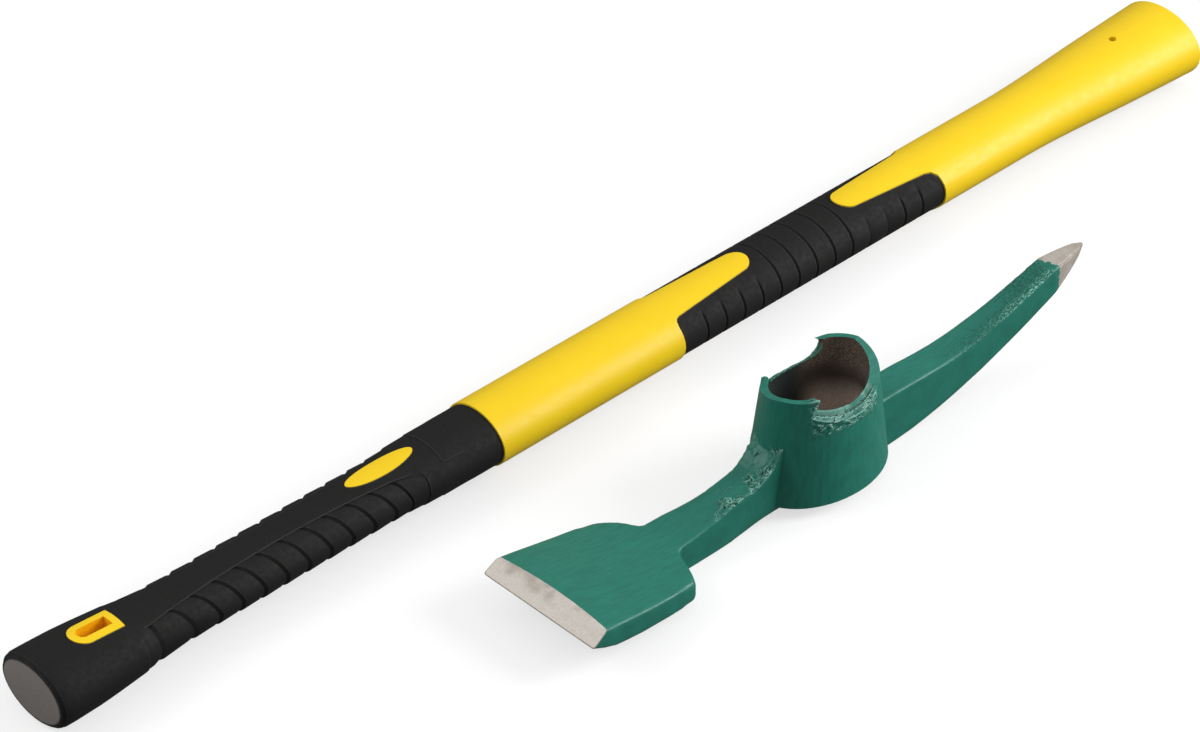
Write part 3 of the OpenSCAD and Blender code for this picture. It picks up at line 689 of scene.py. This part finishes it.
def bare_steel(s):
    """Colour of the ground steel: grainy, smudged on the bevel, darker on the point, with painted shade
    along the point's ridge and darker steel along sharp edges.
    """
    steel = s.mix(s.noise(STEEL_SIZE, detail=4, rough=STEEL_GRIT), STEEL_DARK, STEEL_LIGHT)
    smudge = s.times(s.ramp(s.noise(SMUDGE_SIZE), *SMUDGE_FADE), s.ramp(s.x, *SMUDGE_START))
    steel = s.mix(s.times(smudge, SMUDGE_SHARE), steel, SMUDGE_STEEL)
    point_steel = s.mix(s.noise(POINT_SIZE, detail=4, rough=STEEL_GRIT), POINT_DARK, POINT_LIGHT)
    steel = s.mix(s.times(s.point, POINT_SHARE), steel, point_steel)
    ridge = s.times(s.point, s.ramp(s.normal[2], *RIDGE_LOW), s.ramp(s.normal[2], *RIDGE_HIGH))
    lines = s.math("MAXIMUM", ridge, s.ramp(s.edge, *RIDGE_EDGE_FADE))
    return s.mix(s.times(lines, RIDGE_SHADE_SHARE), steel, RIDGE_SHADE_STEEL)


def eye_scale(s):
    """Colour of the raw steel inside the eye, with painted light low on the right and painted shade on the
    left.
    """
    scale = s.mix(s.noise(SCALE_SIZE, detail=4), SCALE_DARK, SCALE_LIGHT)
    painted_lit = s.mix(s.noise(PAINTED_LIT_SIZE, detail=4), PAINTED_LIT_DARK, PAINTED_LIT_LIGHT)
    scale = s.mix(s.times(s.ramp(s.away_x, *PAINTED_LIT_REACH), s.ramp(s.z, *PAINTED_LIT_HEIGHT)), scale, painted_lit)
    top_right = s.times(s.ramp(s.z, *SPECK_HEIGHT), s.ramp(s.away_x, *SPECK_REACH))
    specks = s.times(top_right, s.ramp(s.noise(SPECK_SIZE), *SPECK_FADE))
    scale = s.mix(specks, scale, SPECK_SCALE)
    return s.mix(s.ramp(s.away_x, *SHADE_REACH), scale, SHADE_SCALE)


def painted_steel():
    """Green enamel over forged steel, ground bare at the edge and the point, raw inside the eye."""
    s = HeadShader("painted_steel")
    outside = s.mix(s.bare, green_enamel(s), bare_steel(s))
    s.set("Base Color", s.mix(s.inside, outside, eye_scale(s)))
    s.set("Metallic", s.times(s.bare, STEEL_METALLIC_SHARE))
    paint_gloss = s.ramp(s.noise(PAINT_GLOSS_SIZE), *NOISE_SPAN, *PAINT_ROUGHNESS)
    s.set("Roughness", s.blend(s.inside, s.blend(s.bare, paint_gloss, STEEL_ROUGHNESS), SCALE_ROUGHNESS))
    s.set("Specular IOR Level", PAINT_SPECULAR)
    skin = s.bump(s.noise(PEEL_SIZE, rough=PEEL_GRIT), PEEL_DEPTH)
    lines = s.times(s.noise(LINE_SIZE, detail=2, stretch=LINE_STRETCH), s.ramp(s.normal[2], *LINE_UP))
    skin = s.bump(lines, LINE_DEPTH, skin)
    raw = s.times(s.math("MAXIMUM", s.point, s.inside), PIT_BARE_SHARE)
    pitted = s.math("MAXIMUM", s.times(s.crust, PIT_CRUST_SHARE), raw)
    s.bump(s.times(pitted, s.noise(PIT_SIZE)), PIT_DEPTH, skin)
    return s.material


# Yellow jacket
YELLOW_DEEP = (0.79, 0.530, 0.004, 1)
YELLOW_LIGHT = (0.83, 0.575, 0.008, 1)
YELLOW_PATCH = 18 * MM
# Painted bounce light: a deeper orange on the walls of the hang hole
HOLE_BOUNCE_YELLOW = (0.90, 0.45, 0.003, 1)
HOLE_ALONG = (15 * MM, 14 * MM)
HOLE_ACROSS = (8 * MM, 7 * MM)
HOLE_UP = (0.7, 0.5)
YELLOW_GLOSS_SIZE = 4 * MM
YELLOW_ROUGHNESS = (0.42, 0.52)
YELLOW_SPECULAR = 0.3
YELLOW_GRAIN_SIZE, YELLOW_GRAIN_DEPTH = 1.2 * MM, 0.03 * MM


def yellow_plastic():
    """Satin moulded plastic with a faint mottling, and painted bounce light that turns the hang hole's walls
    a deeper orange.
    """
    s = Shader("yellow_plastic")
    x, y, _ = s.axes()
    along = s.math("ABSOLUTE", s.math("SUBTRACT", x, LOOP_X))
    across = s.math("ABSOLUTE", s.math("SUBTRACT", y, HANDLE_Y))
    wall = s.ramp(s.true_normal()[2], *HOLE_UP)
    hole = s.times(s.ramp(along, *HOLE_ALONG), s.ramp(across, *HOLE_ACROSS), wall)
    yellow = s.mix(s.noise(YELLOW_PATCH), YELLOW_DEEP, YELLOW_LIGHT)
    s.set("Base Color", s.mix(hole, yellow, HOLE_BOUNCE_YELLOW))
    s.set("Roughness", s.ramp(s.noise(YELLOW_GLOSS_SIZE, detail=2), *NOISE_SPAN, *YELLOW_ROUGHNESS))
    s.set("Specular IOR Level", YELLOW_SPECULAR)
    s.bump(s.noise(YELLOW_GRAIN_SIZE, detail=2), YELLOW_GRAIN_DEPTH)
    return s.material


# Black grips
RUBBER_DEEP = (0.0072, 0.0070, 0.0068, 1)
RUBBER_LIGHT = (0.0098, 0.0096, 0.0093, 1)
RUBBER_PATCH = 7 * MM
# Painted shade in the grooves between the ribs
GROOVE_SHADE_BLACK = (0.0008, 0.0008, 0.0008, 1)
GROOVE_SHADE_REACH = 1.2 * MM
GROOVE_SHADE_FADE = (0.14, 0.32)
# Painted highlights on the rib edges
RIB_HIGHLIGHT_GREY = (0.060, 0.058, 0.056, 1)
RIB_HIGHLIGHT_REACH = 0.6 * MM
RIB_HIGHLIGHT_FADE = (0.04, 0.18)
RIB_HIGHLIGHT_SHARE = 0.7
BUTT_DARK = (0.17, 0.157, 0.146, 1)
BUTT_LIGHT = (0.24, 0.222, 0.206, 1)
BUTT_SIZE = 1.4 * MM
BUTT_OVAL = (0.86, 0.66)
BUTT_FACE = (GRIP_LOW.x + 0.6 * MM, GRIP_LOW.x + 0.1 * MM)
RUBBER_GLOSS_SIZE = 3 * MM
RUBBER_ROUGHNESS = (0.66, 0.78)
RUBBER_SPECULAR = 0.18
RUBBER_GRAIN_SIZE, RUBBER_GRAIN_DEPTH = 0.7 * MM, 0.07 * MM


def black_rubber():
    """Matt moulded rubber with a fine grain, painted shade in its grooves, painted highlights on its rib
    edges, and grey on the butt face.
    """
    s = Shader("black_rubber")
    x, y, z = s.axes()
    across = s.times(s.math("SUBTRACT", y, HANDLE_Y), 2 / (GRIP_HIGH.y - GRIP_LOW.y))
    upward = s.times(s.math("SUBTRACT", z, HANDLE_Z), 2 / (GRIP_HIGH.z - GRIP_LOW.z))
    oval = s.math("ADD", s.times(across, across), s.times(upward, upward))
    face = s.times(s.ramp(oval, *BUTT_OVAL), s.ramp(x, *BUTT_FACE))
    black = s.mix(s.noise(RUBBER_PATCH, detail=4), RUBBER_DEEP, RUBBER_LIGHT)
    black = s.mix(s.ramp(s.hollow(GROOVE_SHADE_REACH), *GROOVE_SHADE_FADE), black, GROOVE_SHADE_BLACK)
    black = s.mix(s.times(s.ramp(s.brim(RIB_HIGHLIGHT_REACH), *RIB_HIGHLIGHT_FADE), RIB_HIGHLIGHT_SHARE), black, RIB_HIGHLIGHT_GREY)
    # A lighter grey on the butt face
    butt_grey = s.mix(s.noise(BUTT_SIZE, detail=4), BUTT_DARK, BUTT_LIGHT)
    s.set("Base Color", s.mix(face, black, butt_grey))
    s.set("Roughness", s.ramp(s.noise(RUBBER_GLOSS_SIZE), *NOISE_SPAN, *RUBBER_ROUGHNESS))
    s.set("Specular IOR Level", RUBBER_SPECULAR)
    s.bump(s.noise(RUBBER_GRAIN_SIZE, detail=2), RUBBER_GRAIN_DEPTH)
    return s.material


# Core rod
RESIN_DARK = colour(196, 178, 128)
RESIN_LIGHT = colour(228, 216, 176)
RESIN_ROUGHNESS = (0.42, 0.56)
FIBRE_SIZE, FIBRE_DEPTH, FIBRE_STRETCH = 0.8 * MM, 0.08 * MM, (40, 1, 1)


def fibreglass():
    """Pale resin rod with fine lengthwise fibres."""
    s = Shader("fibreglass")
    fibres = s.noise(FIBRE_SIZE, stretch=FIBRE_STRETCH)
    s.set("Base Color", s.mix(fibres, RESIN_DARK, RESIN_LIGHT))
    s.set("Roughness", s.ramp(fibres, *NOISE_SPAN, *RESIN_ROUGHNESS))
    s.bump(fibres, FIBRE_DEPTH)
    return s.material


# Pieces and the angles in degrees up to which each is shaded as round
HANDLE_LIMIT = 30
GRIP_LIMIT = 24
rubber = black_rubber()
forged_head(painted_steel())
dress(nodes["handle_core"], fibreglass(), HANDLE_LIMIT)
dress(nodes["handle_jacket"], yellow_plastic(), HANDLE_LIMIT)
dress(nodes["lower_grip"], rubber, GRIP_LIMIT)
dress(nodes["upper_grip"], rubber, GRIP_LIMIT)

# Floor
FLOOR_SIZE = 12.0
FLOOR_Z = -0.2 * MM
FLOOR_DARK = (0.35, 0.35, 0.35, 1)
FLOOR_LIGHT = (0.37, 0.37, 0.37, 1)
FLOOR_PATCH = 0.2
FLOOR_GLOSS_SIZE = 0.05
FLOOR_ROUGHNESS = (0.8, 0.9)
FLOOR_GLOW = 0.64


def pale_floor():
    """A white table that glows a little, as one lit from below does."""
    s = Shader("pale_floor")
    s.set("Base Color", s.mix(s.noise(FLOOR_PATCH, detail=2), FLOOR_DARK, FLOOR_LIGHT))
    s.set("Roughness", s.ramp(s.noise(FLOOR_GLOSS_SIZE, detail=2), *NOISE_SPAN, *FLOOR_ROUGHNESS))
    s.set("Specular IOR Level", 0.0)
    s.set("Emission Color", WHITE)
    s.set("Emission Strength", FLOOR_GLOW)
    return s.material


bpy.ops.mesh.primitive_plane_add(size=FLOOR_SIZE, location=(0, 0, FLOOR_Z))
floor = bpy.context.object
floor.name = "floor"
floor.data.materials.append(pale_floor())
floor.visible_diffuse = False
floor.visible_glossy = False

# Camera at the photo's angle
CAMERA_TARGET = Vector((-0.02104, 0.092855, 0))
CAMERA_AZIMUTH = math.radians(-43.57)
CAMERA_HEIGHT = math.radians(37.42)
CAMERA_DISTANCE = 2.7218
CAMERA_LENS = 141.0
SENSOR_WIDTH = 36.0


def look_along(obj, direction):
    """Turns a camera or a light to look in a direction, with its upper side up."""
    obj.rotation_mode = "QUATERNION"
    obj.rotation_quaternion = direction.to_track_quat("-Z", "Y")


def photo_camera():
    """The camera, placed by its angles and its distance from the target."""
    data = bpy.data.cameras.new("camera")
    data.lens = CAMERA_LENS
    data.sensor_width = SENSOR_WIDTH
    camera = bpy.data.objects.new("camera", data)
    bpy.context.scene.collection.objects.link(camera)
    back = Vector((
        math.sin(CAMERA_AZIMUTH) * math.cos(CAMERA_HEIGHT),
        -math.cos(CAMERA_AZIMUTH) * math.cos(CAMERA_HEIGHT),
        math.sin(CAMERA_HEIGHT),
    ))
    camera.location = CAMERA_TARGET + back * CAMERA_DISTANCE
    look_along(camera, -back)
    bpy.context.scene.camera = camera


photo_camera()

# Soft lights: name, place, size in metres and power in watts
SOFT_LIGHTS = (
    ("key_light", (2.0, -1.65, 1.5), 1.5, 76),
    ("low_light", (2.2, -1.2, 0.5), 1.0, 20),
    ("left_light", (-1.6, 1.2, 1.5), 1.2, 22),
)


def soft_light(name, place, size, power):
    """A square area light that looks at the middle of the set."""
    data = bpy.data.lights.new(name, "AREA")
    data.size = size
    data.energy = power
    light = bpy.data.objects.new(name, data)
    light.location = place
    look_along(light, -Vector(place))
    bpy.context.scene.collection.objects.link(light)


for light_values in SOFT_LIGHTS:
    soft_light(*light_values)

# Light from all round: strengths, and the heights on the unit sphere between which they change
GROUND_LIGHT = 0.19
CEILING_LIGHT = 0.7
GROUND_HEIGHT = -0.1
CEILING_HEIGHT = 1.0


def studio_world():
    """A bright ceiling that falls off to dimmer walls, over a dark ground."""
    world = bpy.data.worlds.new("studio")
    world.use_nodes = True
    tree = world.node_tree
    background = tree.nodes["Background"]
    place = tree.nodes.new("ShaderNodeTexCoord")
    axes = tree.nodes.new("ShaderNodeSeparateXYZ")
    height = tree.nodes.new("ShaderNodeMapRange")
    height.inputs["From Min"].default_value = GROUND_HEIGHT
    height.inputs["From Max"].default_value = CEILING_HEIGHT
    height.inputs["To Min"].default_value = GROUND_LIGHT
    height.inputs["To Max"].default_value = CEILING_LIGHT
    background.inputs["Color"].default_value = WHITE
    tree.links.new(place.outputs["Generated"], axes.inputs[0])
    tree.links.new(axes.outputs["Z"], height.inputs["Value"])
    tree.links.new(height.outputs["Result"], background.inputs["Strength"])
    bpy.context.scene.world = world


studio_world()
bpy.context.scene.view_settings.view_transform = "Standard"
